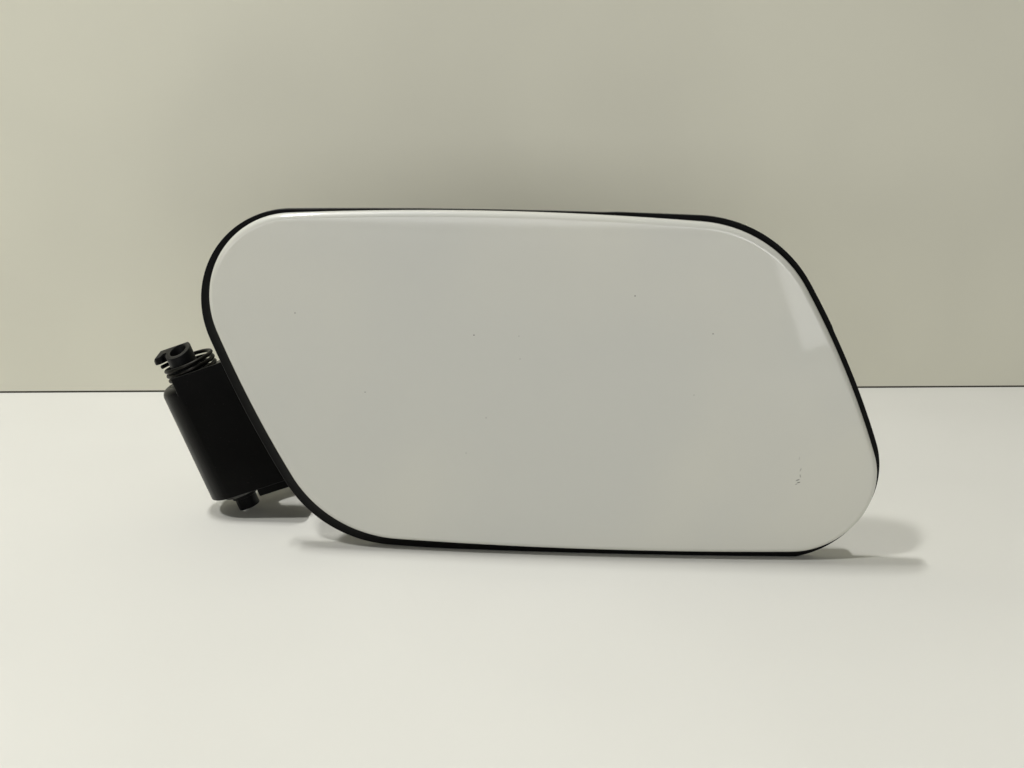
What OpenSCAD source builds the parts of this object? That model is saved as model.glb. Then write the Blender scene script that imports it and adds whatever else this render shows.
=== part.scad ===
// Hinged fuel filler flap: a body-coloured skin on a black moulded carrier,
// carried by a gooseneck arm that swings on a hollow spindle with a torsion spring.
// Seen from outside: X to the right, Y into the car, Z up. Millimetres.

/* [Flap outline] */
// Height of the hinge-side edge between its virtual corners
panel_h = 105; // [92:1:118]
// Length of the top edge between its virtual corners
top_len = 184.5; // [170:0.5:195]
// How far the top edge rises towards its right end
top_rise = 2; // [0:0.1:4]
// Length of the bottom edge between its virtual corners
bottom_len = 191.5; // [180:0.5:200]
// How far the bottom edge falls towards its right end
bottom_fall = 1.1; // [0:0.1:2]
// Sideways lean of the hinge-side edge over the height
edge_lean = 45.5; // [35:0.5:55]
// Corner radius at the upper left
radius_ul = 28.5; // [22:0.5:34]
// Corner radius at the upper right
radius_ur = 43; // [36:0.5:48]
// Corner radius at the lower right
radius_lr = 26; // [20:0.5:32]
// Corner radius at the lower left
radius_ll = 41; // [34:0.5:46]
// Bow of the top edge
bow_top = 4.3; // [2:0.1:6]
// Bow of the right edge
bow_right = 5.5; // [3:0.1:8]
// Bow of the bottom edge
bow_bottom = 1.6; // [1:0.1:3]
// Bow of the left edge
bow_left = 4; // [2:0.1:6]
// Crown radius along the flap
crown_along = 1600; // [1000:50:4000]
// Crown radius up the flap
crown_up = 1300; // [900:50:3000]

/* [Skin] */
// Thickness of the painted skin
skin_t = 1.6; // [1.2:0.1:1.8]
// Radius of the rolled edge
skin_roll = 2; // [1.6:0.1:2.4]
// Depth of the skin from its face to the edge of its return
skin_depth = 2.9; // [2.6:0.1:4]

/* [Carrier] */
// Air gap between the skin and the carrier
skin_gap = 0.2; // [0.1:0.05:0.4]
// Thickness of the carrier plate
carrier_t = 2.3; // [1.8:0.1:3]
// Thickness of the lip that shows round the skin
lip_t = 2.2; // [1.6:0.1:3]
// How far the lip stands out on the hinge side
lip_left = 3.9; // [3:0.1:5]
// How far the lip stands out at the ends of the top edge
lip_top = 2.3; // [1.6:0.1:3]
// How far the lip stands out at the ends of the right edge
lip_right = 1.2; // [0.8:0.1:2]
// How far the lip stands out at the bottom, before its flat is cut
lip_bottom = 3.3; // [2.8:0.1:4]
// Height of the skin's lowest point above the flat on the lip
lip_foot = 2.4; // [1.8:0.1:2.6]
// Extra width of the lip round the upper right corner
lip_land = 0.2; // [0.1:0.1:0.6]
// Thickness of the carrier's ribs
rib_t = 1.8; // [1.4:0.1:2.4]
// Depth of the ribs behind the carrier plate, measured at the top edge
rib_h = 4; // [3:0.5:6]
// Height of the seats above the ribs
seat_step = 0.5; // [0.3:0.1:1.5]
// Distance of the perimeter rib from the skin's edge
rib_inset = 11; // [9:0.5:14]
// Number of ribs across the carrier
cross_ribs = 7; // [4:1:9]
// Number of ribs along the carrier
long_ribs = 2; // [0:1:3]

/* [Hinge line] */
// Lean of the hinge line from upright, its top end to the left
hinge_lean = 20.5; // [17:0.5:23]
// Depth of the hinge line behind the face of the skin
hinge_depth = 32; // [30:0.5:34]
// Distance from the lower left virtual corner out to the spindle's foot
hinge_out = 35.5; // [33:0.5:38]

/* [Spindle] */
// Length of the spindle
spindle_len = 62.5; // [61:0.5:68]
// Radius of the spindle in its bushes
spindle_r = 4.7; // [4.4:0.1:5]
// Radius of the spindle's foot, below the ring
foot_r = 3.9; // [3.6:0.1:4.1]
// Length of the spindle's foot
foot_len = 4.4; // [3:0.1:5]
// Radius of the bore right through the spindle
spindle_bore_r = 3; // [2.5:0.1:3.1]
// Radius of the collar that the spring sits round
collar_r = 5.4; // [5.2:0.1:5.5]
// Length of the collar
collar_len = 5.2; // [4.8:0.1:6]
// Length of the spindle's open head above the collar
head_len = 5.6; // [4.5:0.1:6.5]
// Slope of the head's end face, high at the back
head_slope = 20; // [0:1:25]
// Depth of the flat at the back of the head
head_flat = 1.2; // [0.8:0.1:1.2]
// Reach of the hook on the head, from the hinge line
hook_reach = 10.2; // [9:0.1:11]
// Thickness of the hook
hook_t = 2.6; // [2:0.1:3.2]
// Height of the hook
hook_h = 3.6; // [3:0.1:4.5]
// Slanted cut at the hook's outer end
hook_cut = 2.4; // [1.5:0.1:2.6]

/* [Arm] */
// Length of the arm's barrel
barrel_len = 43.5; // [42:0.5:45]
// Radius of the barrel
barrel_r = 11; // [10:0.1:12]
// Wall thickness of the arm
arm_t = 3; // [2.5:0.1:3.5]
// Height of the spring guard above the barrel
guard_h = 3.8; // [3:0.1:5]
// Thickness of the spring guard
guard_t = 1; // [0.8:0.1:1.2]
// How far the guard starts on the outer side of the hinge line
guard_start = 2; // [1:0.1:4]
// Rounding of the barrel's upper edge on its open side
barrel_round = 3; // [1.5:0.1:3.4]
// Depth of the ledge under the front wall
ledge_h = 3.6; // [2:0.1:4]
// Width of the front wall from the hinge line to its outer corner
front_w = 22; // [20:0.5:24]
// Inner radius of the gooseneck round the hinge line
neck_r = 42; // [40:0.5:46]
// Angle of the gooseneck's root behind the hinge line
neck_root = 48; // [42:1:56]
// Depth of the gooseneck's stiffening flanges
flange_h = 7; // [4:0.5:10]
// Number of stiffening flanges on the gooseneck
flange_count = 4; // [3:1:5]
// Distance between the two columns of screws in the foot
foot_pitch = 10; // [9:0.5:14]

/* [Bushes and retainer] */
// Wall of the bushes
bush_t = 1.4; // [1:0.1:1.6]
// Length of the bushes in the barrel
bush_len = 9; // [6:0.5:12]
// Radius of the bush flanges
bush_flange_r = 7.4; // [7.2:0.1:8]
// Thickness of the bush flanges
bush_flange_t = 0.9; // [0.6:0.1:1.2]
// Radial running clearance of the spindle in its bushes
run_gap = 0.06; // [0.03:0.01:0.1]
// End float between the turning faces
end_gap = 0.15; // [0.1:0.05:0.25]
// Gap between seated pieces
seat_gap = 0.05; // [0.02:0.01:0.1]
// Thickness of the washer under the barrel
washer_t = 0.8; // [0.6:0.1:1]
// Radius of the washer
washer_r = 7.8; // [7.5:0.1:8.2]
// Thickness of the retaining ring
ring_t = 0.9; // [0.7:0.1:1.1]
// Radius of the retaining ring
ring_r = 7; // [6.4:0.1:7.4]
// Depth of the groove that holds the ring
groove_d = 0.6; // [0.4:0.1:0.8]

/* [Spring] */
// Diameter of the spring wire
wire_d = 1.4; // [1.2:0.05:1.5]
// Gap between the turns
turn_gap = 0.4; // [0.2:0.05:0.5]
// Gap between the spring and its guard
spring_room = 1; // [0.8:0.05:1.2]
// Number of turns
spring_turns = 3.45; // [2.45:1:3.45]
// Sideways set of the spring, pressed over by its load
spring_set = 1.95; // [1.5:0.05:2]

/* [Screws] */
// Radius of the screw shanks
screw_r = 1.7; // [1.4:0.1:2]
// Radius of the screw heads
screw_head_r = 3.4; // [3:0.1:4]
// Height of the screw heads
screw_head_h = 2.2; // [1.8:0.1:2.6]
// Length of the screw shanks under the head
screw_len = 7; // [6:0.5:7.5]
// Wall of the bosses that take the screws
boss_t = 2; // [1.6:0.1:2.6]

/* [Striker] */
// Distance of the striker from the right-hand end of the top edge
striker_in = 6; // [0:0.5:15]
// Reach of the striker's tongue behind its base
striker_reach = 24; // [20:0.5:30]
// Width of the tongue
striker_w = 14; // [12:0.5:16]
// Thickness of the tongue
striker_t = 4; // [3.5:0.1:5]
// Radius of the eye that the locking pin enters
eye_r = 3.6; // [3:0.1:4]
// Thickness of the striker's base
base_t = 2.6; // [2:0.1:3.2]
// Distance between the two screws of the striker
striker_pitch = 26; // [22:0.5:30]

/* [Buffers] */
// Radius of the rubber buffers
buffer_r = 5; // [4:0.1:6]
// Height of the buffers above their bosses
buffer_h = 5; // [4:0.5:7]
// Radius of the buffer stems
stem_r = 2.4; // [2:0.1:2.8]

/* [Cap holder] */
// Clear width between the prongs
holder_gap = 16; // [14:0.5:20]
// Thickness of the prongs
prong_t = 2.4; // [2:0.1:3]
// Height of the prongs behind the base
prong_h = 14; // [11:0.5:18]
// Length of the holder along the prongs
holder_len = 15; // [12:0.5:20]
// Distance of the holder from the middle of the flap, away from the hinge
holder_out = 14; // [8:0.5:20]

/* [Hidden] */
$fn = 64;

paint = [0.72, 0.72, 0.70];
plastic = [0.10, 0.10, 0.11];
rubber = [0.06, 0.06, 0.06];
steel = [0.55, 0.55, 0.57];
brass = [0.45, 0.42, 0.38];

// Corners of the skin, clockwise seen from outside: upper left, upper right, lower right, lower left
plain_corners = [[-edge_lean, panel_h], [top_len - edge_lean, panel_h + top_rise],
                 [bottom_len, -bottom_fall], [0, 0]];
radii = [radius_ul, radius_ur, radius_lr, radius_ll];
bows = [bow_top, bow_right, bow_bottom, bow_left];

CORNER_STEPS = 14;
SIDE_STEPS = 14;

function unit(v) = v / norm(v);
function left_of(v) = [-v.y, v.x];
function bow_radius(p, q, bow) = (pow(norm(q - p) / 2, 2) + bow * bow) / (2 * bow);
function bow_centre(p, q, bow) = (p + q) / 2 - left_of(unit(q - p)) * (bow_radius(p, q, bow) - bow);
// Centre of the fillet of radius r between two bowed sides, on the side of their corner
function fillet_centre(c1, r1, c2, r2, r, corner) =
    let (a = r1 - r, b = r2 - r, d = norm(c2 - c1), e = (c2 - c1) / d,
         x = (a * a - b * b + d * d) / (2 * d), h = sqrt(max(a * a - x * x, 0)),
         p = c1 + e * x + left_of(e) * h, q = c1 + e * x - left_of(e) * h)
    norm(p - corner) < norm(q - corner) ? p : q;
function heading(v) = atan2(v.y, v.x);
// Angle b brought to less than a full turn below angle a
function below(a, b) = b > a ? below(a, b - 360) : b;
function arc(c, r, from, to, steps, first, last) =
    [for (i = [first:last]) c + r * [cos(from + (to - from) * i / steps), sin(from + (to - from) * i / steps)]];
// Closed outline of four bowed sides and four filleted corners
function outline(pts, rad, bow) =
    let (rs = [for (i = [0:3]) bow_radius(pts[i], pts[(i + 1) % 4], bow[i])],
         cs = [for (i = [0:3]) bow_centre(pts[i], pts[(i + 1) % 4], bow[i])],
         fc = [for (i = [0:3]) fillet_centre(cs[(i + 3) % 4], rs[(i + 3) % 4], cs[i], rs[i], rad[i], pts[i])])
    [for (i = [0:3])
        let (a1 = heading(fc[i] - cs[(i + 3) % 4]), a2 = below(a1, heading(fc[i] - cs[i])),
             b1 = heading(fc[i] - cs[i]), b2 = below(b1, heading(fc[(i + 1) % 4] - cs[i])))
        for (p = concat(arc(fc[i], rad[i], a1, a2, CORNER_STEPS, 0, CORNER_STEPS),
                        arc(cs[i], rs[i], b1, b2, SIDE_STEPS, 1, SIDE_STEPS - 1))) p];
// Corner moved out so that its two sides move out by m1 and m2
function moved_corner(p, before, after, m1, m2) =
    let (n1 = left_of(unit(p - before)), n2 = left_of(unit(after - p)), det = n1.x * n2.y - n1.y * n2.x)
    p + [m1 * n2.y - m2 * n1.y, m2 * n1.x - m1 * n2.x] / det;
function grown(pts, m) =
    [for (i = [0:3]) moved_corner(pts[i], pts[(i + 3) % 4], pts[(i + 1) % 4], m[(i + 3) % 4], m[i])];
function normals(loop) =
    let (n = len(loop)) [for (i = [0:n - 1]) left_of(unit(loop[(i + 1) % n] - loop[(i + n - 1) % n]))];
function inset(loop, d) = let (nn = normals(loop)) [for (i = [0:len(loop) - 1]) loop[i] - nn[i] * d];
function shrunk(loop, s) = [for (p = loop) mid + (p - mid) * s];
// Depth of the crowned face behind its highest point
function crown(p) = pow(p.x - mid.x, 2) / (2 * crown_along) + pow(p.y - mid.y, 2) / (2 * crown_up);
function at_depth(loop, y) = [for (p = loop) [p.x, crown(p) + y, p.y]];
function level_at(loop, y) = [for (p = loop) [p.x, y, p.y]];

// The skin's lowest point stands above the flat on the lip
lift = lip_foot - min([for (p = outline(plain_corners, radii, bows)) p.y]);
corners = [for (p = plain_corners) p + [0, lift]];
mid = (corners[0] + corners[1] + corners[2] + corners[3]) / 4;
skin_edge = outline(corners, radii, bows);
count = len(skin_edge);
lip_margins = [lip_top, lip_right, lip_bottom, lip_left];
lip_radii = radii + [2.8, 0.8, 4.8, 0];
lip_bows = [bow_top / 2, bow_right + 0.7, bow_bottom, bow_left];
lip_plain = outline(grown(corners, lip_margins), lip_radii, lip_bows);
// The lip is a little wider from the end of the top edge, round the corner, to a third down the right edge
corner_run = CORNER_STEPS + SIDE_STEPS;
land_from = corner_run - floor(SIDE_STEPS / 4);
land_to = corner_run + CORNER_STEPS + floor(SIDE_STEPS / 3);
lip_normals = normals(lip_plain);
lip_wide = [for (i = [0:count - 1]) lip_plain[i] + lip_normals[i] * (i >= land_from && i <= land_to ? lip_land : 0)];
// The flat that the flap stands on
lip_edge = [for (p = lip_wide) [p.x, max(p.y, 0)]];

// Levels behind the crowned face
carrier_front = skin_t + skin_gap;
carrier_back = carrier_front + carrier_t;
lip_front = skin_depth + skin_gap;
lip_back = lip_front + lip_t;
joggle = skin_t + 0.6;
rib_outer = inset(skin_edge, rib_inset);
rib_inner = inset(skin_edge, rib_inset + rib_t);

// Solid through a stack of closed loops, closed by a fan at each end
module loft(loops) {
    n = len(loops[0]);
    last = len(loops) - 1;
    all = [for (l = loops) for (p = l) p];
    first_hub = mid_of(loops[0]);
    last_hub = mid_of(loops[last]);
    sides = [for (k = [0:last - 1]) for (i = [0:n - 1]) for (f =
        [[k * n + i, (k + 1) * n + i, (k + 1) * n + (i + 1) % n],
         [k * n + i, (k + 1) * n + (i + 1) % n, k * n + (i + 1) % n]]) f];
    start = [for (i = [0:n - 1]) [(i + 1) % n, len(all), i]];
    end = [for (i = [0:n - 1]) [last * n + i, len(all) + 1, last * n + (i + 1) % n]];
    polyhedron(concat(all, [first_hub, last_hub]), concat(start, sides, end), convexity = 6);
}
function mid_of(loop) = let (p = [mid.x, mid.y]) [p.x, loop[0].y - crown([loop[0].x, loop[0].z]), p.y];

// Hinge line
hinge_foot = [corners[3].x - hinge_out, hinge_depth, foot_r * sin(hinge_lean)];
hinge_dir = [-sin(hinge_lean), 0, cos(hinge_lean)];
origin = hinge_foot + hinge_dir * spindle_len / 2;
barrel_top = spindle_len - head_len - collar_len - end_gap;
barrel_foot = barrel_top - barrel_len;

// The whole flap is drawn from its lower edge and moved so that the hinge bore's middle is the origin
module in_frame() { translate(-origin) children(); }
// X away from the hinge line towards the flap, Y into the car, Z up the hinge line from the spindle's foot
module on_hinge() { in_frame() translate(hinge_foot) rotate([0, -hinge_lean, 0]) children(); }

module outer_skin() {
    color(paint) in_frame() loft(concat(
        [for (s = [0.25, 0.5, 0.75, 0.92]) at_depth(shrunk(inset(skin_edge, skin_roll), s), 0)],
        [for (a = [0, 30, 60, 90]) at_depth(inset(skin_edge, skin_roll * (1 - sin(a))), skin_roll * (1 - cos(a)))],
        [at_depth(skin_edge, skin_depth - 0.2), at_depth(inset(skin_edge, 0.2), skin_depth)],
        [at_depth(inset(skin_edge, skin_t), skin_depth)],
        [for (a = [90, 45, 0]) at_depth(inset(skin_edge, skin_t + (skin_roll - skin_t) * (1 - sin(a))),
                                        skin_t + (skin_roll - skin_t) * (1 - cos(a)))],
        [for (s = [0.8, 0.5, 0.25]) at_depth(shrunk(inset(skin_edge, skin_roll), s), skin_t)]));
}

// Crowned plate with a joggle behind the skin's return, a lip that shows round it and a perimeter rib
module carrier_plate() {
    well = inset(skin_edge, joggle);
    loft([
        at_depth(shrunk(well, 0.3), carrier_front), at_depth(shrunk(well, 0.65), carrier_front),
        at_depth(well, carrier_front), at_depth(well, lip_front),
        at_depth(inset(lip_edge, 0.2), lip_front), at_depth(lip_edge, lip_front + 0.2),
        at_depth(lip_edge, lip_back - 0.3), at_depth(inset(lip_edge, 0.3), lip_back),
        at_depth(inset(skin_edge, joggle + 2), lip_back), at_depth(inset(skin_edge, joggle + 4), carrier_back),
        at_depth(rib_outer, carrier_back), level_at(rib_outer, rib_back),
        level_at(rib_inner, rib_back), at_depth(rib_inner, carrier_back),
        at_depth(shrunk(rib_inner, 0.65), carrier_back), at_depth(shrunk(rib_inner, 0.3), carrier_back)]);
}

// Back faces of the ribs, the seats and the bosses
RIB_ENDS = 32;
rib_back = carrier_back + crown(mid + [0, panel_h / 2]) + rib_h;
seat_back = rib_back + seat_step;
rib_reach = panel_h / 2 - rib_inset;
rib_step = (top_len - RIB_ENDS) / cross_ribs;
function rib_mid(i) = mid + [(i - (cross_ribs - 1) / 2) * rib_step, 0];
// Depth where a cross rib starts inside the crowned plate
function rib_root(i) = carrier_front + 0.25
    + max([for (k = [-1, 1]) crown(rib_mid(i) + k * rib_reach * [-tan(hinge_lean), 1])]);
// Middle of the bay after cross rib i on rib k along the carrier
function bay_mid(i, k) = rib_mid(i + 0.5) + [0, (k - (long_ribs - 1) / 2) * panel_h / (long_ribs + 1)];
function bay_root(p) = carrier_front + 0.25 + max([for (m = [-1, 1]) crown(p + [m * rib_step / 2, 0])]);
// Depth where a boss at point p starts inside the plate
function boss_root(p) = carrier_front + crown(p) + carrier_t / 2;

// Outline drawn as seen from outside, from depth y0 to y1
module panel_slab(y0, y1) { translate([0, y1, 0]) rotate([90, 0, 0]) linear_extrude(y1 - y0) children(); }
// Rod of radius r along Y at point p, from depth y0 to y1
module rod_y(p, r, y0, y1) { translate([p.x, y0, p.y]) rotate([-90, 0, 0]) cylinder(r = r, h = y1 - y0); }

ledge_gap = 0.6;
FRONT_CORNER = 3;

// Foot of the arm on the carrier, in hinge line coordinates
foot_u0 = neck_r - 3;
foot_screw_u = neck_r + arm_t + flange_h + screw_head_r;
foot_margin = screw_head_r + 1.8;
foot_u1 = foot_screw_u + foot_pitch + foot_margin;
foot_back = seat_back + seat_gap + arm_t;
foot_s0 = barrel_foot + 1;
foot_s1 = barrel_top - 2;
arm_screws = [for (s = [foot_s0 + foot_margin, foot_s1 - foot_margin])
              for (u = [foot_screw_u, foot_screw_u + foot_pitch]) [u, s]];
// Hinge line coordinates of a point turned into the flap's X and Z
function from_hinge(p) = [hinge_foot.x + p.x * cos(hinge_lean) - p.y * sin(hinge_lean),
                          hinge_foot.z + p.x * sin(hinge_lean) + p.y * cos(hinge_lean)];
arm_screw_at = [for (p = arm_screws) from_hinge(p)];
// Depth where the arm's seat starts inside the plate
seat_root = carrier_front + 0.25 + max([for (u = [foot_u0 - 1, foot_u1 + 1])
    for (v = [foot_s0 - 1, foot_s1 + 1]) crown(from_hinge([u, v]))]);
striker_at = [corners[1].x - striker_in, mid.y + 2];
striker_screw_at = [for (k = [-1, 1]) striker_at + [0, k * striker_pitch / 2]];
buffer_inset = rib_inset + rib_t + buffer_r + 2;
// Three buffers stand in the corners, and the fourth by the lower edge, clear of the arm's foot
function corner_mid(i) = i * corner_run + floor(CORNER_STEPS / 2);
buffer_at = [for (k = [corner_mid(0), corner_mid(1), corner_mid(2), 3 * corner_run - floor(SIDE_STEPS / 3)])
    inset(skin_edge, buffer_inset)[k]];
holder_at = mid + [holder_out, 0];
screw_wall = screw_r + boss_t;
base_back = seat_back + seat_gap + base_t;
tip_room = 0.3;
stem_len = 4;
SEAT_WALL = 1.5;

module inner_carrier() {
    color(plastic) in_frame() difference() {
        union() {
            carrier_plate();
            // cross ribs up to the perimeter rib
            for (i = [0:cross_ribs - 1]) panel_slab(rib_root(i), rib_back) intersection() {
                polygon(inset(skin_edge, rib_inset + rib_t / 2));
                difference() {
                    translate(rib_mid(i)) rotate(hinge_lean) square([rib_t, 2 * panel_h], center = true);
                    rib_keep_out();
                }
            }
            // ribs along the carrier, one stretch for each bay between the cross ribs
            for (k = [0:1:long_ribs - 1]) for (i = [-2:cross_ribs])
               panel_slab(bay_root(bay_mid(i, k)), rib_back) intersection() {
                polygon(inset(skin_edge, rib_inset + rib_t / 2));
                difference() {
                    translate(bay_mid(i, k)) square([rib_step + 0.2, rib_t], center = true);
                    rib_keep_out();
                }
            }
            // seat of the arm
            translate(hinge_foot) rotate([0, -hinge_lean, 0])
                translate([foot_u0 - 1, seat_root - hinge_depth, foot_s0 - 1])
                    cube([foot_u1 - foot_u0 + 2, seat_back - seat_root, foot_s1 - foot_s0 + 2]);
            // seats of the striker, the cap holder and the buffers
            for (p = striker_screw_at) rod_y(p, screw_wall + SEAT_WALL, boss_root(p), seat_back);
            rod_y(holder_at, screw_wall + SEAT_WALL, boss_root(holder_at), seat_back);
            for (p = buffer_at) rod_y(p, stem_r + boss_t, boss_root(p), seat_back);
        }
        for (p = arm_screw_at) rod_y(p, screw_r + seat_gap, foot_back - screw_len - tip_room, seat_back + 1);
        for (p = concat(striker_screw_at, [holder_at]))
            rod_y(p, screw_r + seat_gap, base_back - screw_len - tip_room, seat_back + 1);
        for (p = buffer_at) rod_y(p, stem_r + seat_gap, seat_back - stem_len - tip_room, seat_back + 1);
    }
}
// Room that the ribs leave round the arm's foot, the striker and the cap holder
module rib_keep_out() {
    translate(from_hinge([0, 0])) rotate(hinge_lean)
        translate([foot_u0 - 3, foot_s0 - 3]) square([foot_u1 - foot_u0 + 6, foot_s1 - foot_s0 + 6]);
    translate(striker_at) square([striker_w + 6, striker_pitch + 4 * screw_head_r], center = true);
    translate(holder_at) square([holder_gap + 2 * prong_t + 6, holder_len + 6], center = true);
}

// Section of the arm across the hinge line; Y into the car
module neck_band(r0, r1, past_root) {
    difference() {
        circle(r1, $fn = 128);
        circle(r0, $fn = 128);
        // keep the stretch from the foot's seat back to the root
        rotate(neck_root) translate([-2 * r1, past_root]) square(4 * r1);
        translate([-2 * r1, -2 * r1]) square([2 * r1, 4 * r1]);
        translate([-2 * r1, -2 * r1]) square([4 * r1, 2 * r1 + foot_back - arm_t - hinge_depth]);
    }
}
// Web from the barrel out to the gooseneck, from its inner face back by w
module neck_web(w) {
    rotate(neck_root) translate([barrel_r - 2, -arm_t / 2]) square([neck_r - barrel_r + 2.5, w]);
}
module arm_section() {
    circle(barrel_r);
    neck_web(arm_t);
    neck_band(neck_r, neck_r + arm_t, arm_t / 2);
}
module front_box(t) {
    difference() {
        front_outline();
        offset_front(t);
    }
}
module front_outline() {
    circle(barrel_r);
    translate([0, -barrel_r]) square([front_w - FRONT_CORNER, barrel_r]);
    translate([front_w - FRONT_CORNER, -barrel_r + FRONT_CORNER]) circle(FRONT_CORNER);
    translate([0, -barrel_r + FRONT_CORNER]) square([front_w, barrel_r + 1]);
}
module offset_front(t) {
    translate([-barrel_r, -barrel_r + t]) square([front_w + barrel_r - t, 2 * barrel_r]);
}
// Cutter that rounds the barrel's upper edge, away from the guard
module barrel_rounding() {
    intersection() {
        rotate_extrude($fn = 96) difference() {
            translate([barrel_r - barrel_round, barrel_top - barrel_round]) square(2 * barrel_round);
            translate([barrel_r - barrel_round, barrel_top - barrel_round]) circle(barrel_round, $fn = 32);
        }
        translate([-2 * barrel_r - guard_start, -2 * barrel_r, 0]) cube([2 * barrel_r, 4 * barrel_r, 2 * barrel_top]);
    }
}

module hinge_arm() {
    span = barrel_top - barrel_foot;
    color(plastic) on_hinge() difference() {
        union() {
            translate([0, 0, barrel_foot]) linear_extrude(span) { arm_section(); front_box(arm_t); }
            // stiffening flanges round the outside of the gooseneck, and end plates of the front box
            for (i = [0:flange_count - 1])
                translate([0, 0, barrel_foot + i * (span - arm_t) / (flange_count - 1)]) linear_extrude(arm_t) {
                    neck_band(neck_r, neck_r + arm_t + flange_h, arm_t / 2 + flange_h);
                    neck_web(arm_t + flange_h);
                    if (i == 0 || i == flange_count - 1) front_outline();
                }
            // foot
            translate([foot_u0, foot_back - arm_t - hinge_depth, foot_s0])
               cube([foot_u1 - foot_u0, arm_t, foot_s1 - foot_s0]);
            // ledge under the front wall, beside the washer
            translate([washer_r + ledge_gap, -barrel_r + arm_t, barrel_foot - ledge_h])
                cube([front_w - washer_r - ledge_gap, barrel_r - arm_t, ledge_h + 1]);
            // guard in front of the spring
            translate([0, 0, barrel_top - 1]) linear_extrude(guard_h + 1) intersection() {
                difference() { front_outline(); offset_front(guard_t); }
                translate([-guard_start, -barrel_r]) square([front_w + barrel_r, barrel_r]);
            }
        }
        barrel_rounding();
        // bore with a seat for a bush at each end
        translate([0, 0, barrel_foot - 1]) cylinder(r = bush_or + seat_gap, h = span + 2);
        for (s = [barrel_foot - 1, barrel_top - bush_flange_t - seat_gap])
            translate([0, 0, s]) cylinder(r = bush_flange_r + seat_gap, h = bush_flange_t + seat_gap + 1);
        for (p = arm_screws) translate([p.x, -hinge_depth, p.y]) rotate([-90, 0, 0])
            cylinder(r = screw_r + 0.2, h = foot_back + 1);
    }
}
bush_or = spindle_r + run_gap + bush_t;

// Flanged bush, its flange at the foot
module bush() {
    difference() {
        union() {
            cylinder(r = bush_or, h = bush_len);
            cylinder(r = bush_flange_r, h = bush_flange_t);
        }
        translate([0, 0, -1]) cylinder(r = spindle_r + run_gap, h = bush_len + 2);
    }
}
module bush_lower() { color(brass) on_hinge() translate([0, 0, barrel_foot]) bush(); }
module bush_upper() { color(brass) on_hinge() translate([0, 0, barrel_top]) rotate([180, 0, 0]) bush(); }

washer_top = barrel_foot - end_gap;
ring_top = washer_top - washer_t - seat_gap;

module hinge_spindle() {
    collar_z = barrel_top + end_gap;
    head_z = collar_z + collar_len;
    flat_w = spindle_r - head_flat;
    hook_foot = spindle_len - hook_h + 1;
    lobe_r = hook_t * 0.8;
    color(plastic) on_hinge() difference() {
        union() {
            cylinder(r = foot_r, h = foot_len + 1);
            translate([0, 0, foot_len]) cylinder(r = spindle_r, h = spindle_len - foot_len + 3);
            translate([0, 0, collar_z]) cylinder(r = collar_r, h = collar_len);
            // hook, a tongue along the flat at the back of the head, its outer end cut on a slant
            intersection() {
                translate([0, 0, hook_foot]) linear_extrude(hook_h + 2) {
                    translate([lobe_r - hook_reach, flat_w - hook_t]) square([hook_reach - lobe_r, hook_t]);
                    translate([lobe_r - hook_reach, flat_w - lobe_r]) circle(lobe_r);
                }
                translate([0, spindle_r, 0]) rotate([90, 0, 0]) linear_extrude(2 * spindle_r)
                    polygon([[0, hook_foot], [-hook_reach, hook_foot], [-hook_reach, hook_foot + hook_h - hook_cut],
                             [-hook_reach + 1.4 * hook_cut, hook_foot + hook_h + 0.4 * hook_cut],
                             [-hook_reach + 1.4 * hook_cut, hook_foot + 2 * hook_h], [0, hook_foot + 2 * hook_h]]);
            }
        }
        translate([0, 0, -1]) cylinder(r = spindle_bore_r, h = spindle_len + 5);
        // sloping end face
        translate([0, 0, spindle_len]) rotate([head_slope, 0, 0]) translate([-20, -20, 0]) cube([40, 40, 20]);
        // flat at the back of the head
        translate([-20, flat_w, head_z]) cube([40, 20, 20]);
        // groove for the retaining ring
        translate([0, 0, ring_top - ring_t - seat_gap]) difference() {
            cylinder(r = spindle_r + 1, h = ring_t + 2 * seat_gap);
            translate([0, 0, -1]) cylinder(r = spindle_r - groove_d, h = ring_t + 3);
        }
    }
}

module thrust_washer() {
    color(steel) on_hinge() translate([0, 0, washer_top - washer_t]) difference() {
        cylinder(r = washer_r, h = washer_t);
        translate([0, 0, -1]) cylinder(r = spindle_r + 0.1, h = washer_t + 2);
    }
}

// Open ring that snaps into the groove
module retaining_ring() {
    color(steel) on_hinge() translate([0, 0, ring_top - ring_t]) difference() {
        cylinder(r = ring_r, h = ring_t);
        translate([0, 0, -1]) cylinder(r = spindle_r - groove_d + seat_gap, h = ring_t + 2);
        translate([0, -(spindle_r - groove_d) * 0.8, -1]) cube([20, (spindle_r - groove_d) * 1.6, ring_t + 2]);
    }
}

// Torsion spring, a wire swept along its turns with a straight leg at each end
spring_r = barrel_r - guard_t - spring_room - wire_d / 2;
spring_z0 = barrel_top + wire_d / 2 + end_gap;
spring_rise = spring_turns * (wire_d + turn_gap);
STEPS_PER_TURN = 22;
WIRE_SIDES = 8;
LEG_LOW = 7;
LEG_HIGH = 6.2;
LEG_ANGLE = 342;
function on_spring(a) = [spring_set + spring_r * cos(LEG_ANGLE + a), spring_r * sin(LEG_ANGLE + a),
                         spring_z0 + spring_rise * a / (360 * spring_turns)];
function leg_dir(a) = [-sin(LEG_ANGLE + a), cos(LEG_ANGLE + a), 0];
spring_end = 360 * spring_turns;
spring_path = concat(
    [on_spring(0) - leg_dir(0) * LEG_LOW],
    [for (i = [0:spring_turns * STEPS_PER_TURN]) on_spring(i * 360 / STEPS_PER_TURN)],
    [on_spring(spring_end), on_spring(spring_end) + leg_dir(spring_end) * LEG_HIGH]);
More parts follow.
